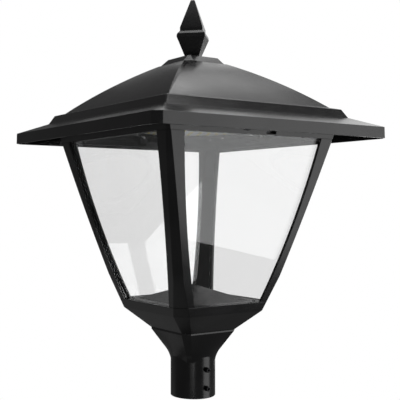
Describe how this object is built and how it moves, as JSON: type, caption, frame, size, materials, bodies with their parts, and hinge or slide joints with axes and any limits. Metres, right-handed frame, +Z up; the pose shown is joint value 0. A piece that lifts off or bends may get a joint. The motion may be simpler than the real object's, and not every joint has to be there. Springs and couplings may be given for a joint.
{
  "type": "post-top LED area light",
  "caption": "Black four-sided post-top lantern with clear panes, hinged hood, LED light engine and a pole collar with set screws",
  "frame": {"origin": "centre of the pole collar's lower rim, on the pole's axis", "axes": "+Z up along the pole's axis, -Y the face with the hood's latch, +X to the right seen from the front"},
  "size_m": [0.4576, 0.4576, 0.6724],
  "materials": {
    "black_coat": "satin black powder coat on cast and extruded aluminium",
    "zinc_steel": "zinc-plated steel",
    "dull_steel": "dull grey oxide on steel",
    "clear_pane": "clear, polished",
    "clear_lens": "clear, polished",
    "seal_rubber": "matte black silicone",
    "bare_aluminium": "bare, lightly brushed",
    "board_white": "white solder mask",
    "led_phosphor": "yellow phosphor",
    "driver_case": "light grey enamel",
    "surge_case": "dark potted case",
    "terminal_plastic": "ivory moulded plastic"
  },
  "bodies": {
    "lantern": {"neck_casting": "black_coat", "base_pan": "black_coat", "neck_bolts": "zinc_steel", "terminal_block": "terminal_plastic", "wiring_cover": "black_coat", "cover_screws": "zinc_steel", "corner_post_front_left": "black_coat", "corner_post_front_right": "black_coat", "corner_post_rear_right": "black_coat", "corner_post_rear_left": "black_coat", "top_frame": "black_coat", "post_dowels": "zinc_steel", "post_screws_upper": "zinc_steel", "pane_front": "clear_pane", "pane_right": "clear_pane", "pane_rear": "clear_pane", "pane_left": "clear_pane", "pane_seals": "seal_rubber", "pane_beads": "black_coat", "bead_clips": "black_coat", "clip_screws": "zinc_steel", "hood_gasket": "seal_rubber", "hinge_pin_left": "zinc_steel", "hinge_pin_right": "zinc_steel", "latch_guide_screw": "dull_steel"},
    "hood_assembly": {"hood": "black_coat", "cap_plate": "black_coat", "finial": "black_coat", "finial_stud": "zinc_steel", "finial_nut": "zinc_steel", "finial_washer": "zinc_steel", "gear_tray": "bare_aluminium", "tray_screws": "zinc_steel", "heat_sink": "bare_aluminium", "led_board": "board_white", "led_packages": "led_phosphor", "lens": "clear_lens", "lens_ring": "black_coat", "lens_screws": "zinc_steel", "led_driver": "driver_case", "driver_screws": "zinc_steel", "surge_protector": "surge_case", "hinge_leaf_left": "black_coat", "hinge_leaf_right": "black_coat", "leaf_screws": "zinc_steel", "latch_keeper": "zinc_steel", "keeper_screws": "zinc_steel"},
    "latch": {"latch_bar": "dull_steel"},
    "screw_front_lower": {"set_screw_front_lower": "dull_steel"},
    "screw_front_upper": {"set_screw_front_upper": "dull_steel"},
    "screw_rear_lower": {"set_screw_rear_lower": "dull_steel"},
    "screw_rear_upper": {"set_screw_rear_upper": "dull_steel"}
  },
  "joints": [
    {"name": "hood_hinge", "type": "hinge", "parent": "lantern", "child": "hood_assembly", "pos_m": [0, 0.182, 0.452], "axis": [-1, 0, 0], "range_deg": [0, 75]},
    {"name": "latch_slide", "type": "slide", "parent": "lantern", "child": "latch", "axis": [1, 0, 0], "range_m": [0, 0.012]},
    {"name": "set_screw_front_lower_travel", "type": "slide", "parent": "lantern", "child": "screw_front_lower", "axis": [0, 1, 0], "range_m": [0, 0.005]},
    {"name": "set_screw_front_upper_travel", "type": "slide", "parent": "lantern", "child": "screw_front_upper", "axis": [0, 1, 0], "range_m": [0, 0.005]},
    {"name": "set_screw_rear_lower_travel", "type": "slide", "parent": "lantern", "child": "screw_rear_lower", "axis": [0, -1, 0], "range_m": [0, 0.005]},
    {"name": "set_screw_rear_upper_travel", "type": "slide", "parent": "lantern", "child": "screw_rear_upper", "axis": [0, -1, 0], "range_m": [0, 0.005]}
  ]
}
